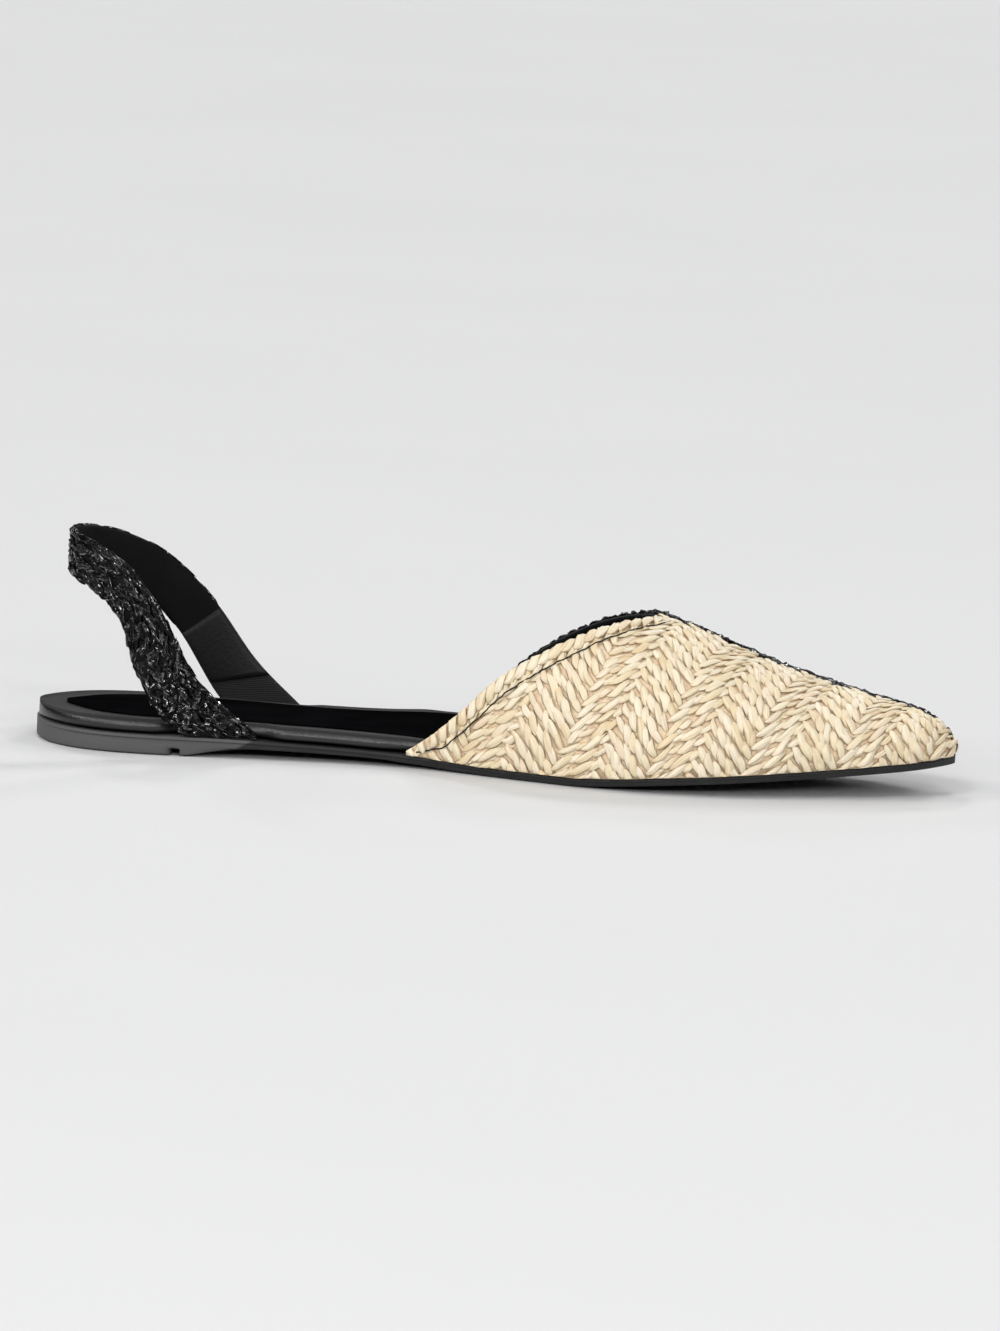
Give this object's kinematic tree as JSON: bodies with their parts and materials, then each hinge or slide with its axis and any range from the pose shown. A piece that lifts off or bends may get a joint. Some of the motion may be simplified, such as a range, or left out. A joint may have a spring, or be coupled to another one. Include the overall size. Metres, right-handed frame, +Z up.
{
  "type": "slingback flat shoe",
  "caption": "Left d'Orsay slingback flat with a pointed two-tone woven raffia vamp, raffia heel strap with elastic and tab, padded leather footbed and thin rubber sole.",
  "frame": {"origin": "on the floor, at the middle of the flat underside of the heel", "axes": "+X to the toe, +Y to the wearer's left (the outer side of this left shoe), +Z up"},
  "size_m": [0.256, 0.0817, 0.0587],
  "materials": {
    "outsole": "matte moulded rubber",
    "footbed": "smooth black leather, soft sheen",
    "insole": "smooth black leather, soft sheen",
    "upper": "woven raffia, natural on the inner side and glossy black on the outer side",
    "sling_strap": "woven glossy black raffia",
    "strap_tab": "smooth black leather, stitched",
    "elastic_gore": "ribbed black elastic"
  },
  "bodies": {
    "root": {"outsole": "outsole", "footbed": "footbed", "insole": "insole", "upper": "upper", "sling_strap": "sling_strap", "strap_tab": "strap_tab", "elastic_gore": "elastic_gore"}
  },
  "joints": []
}
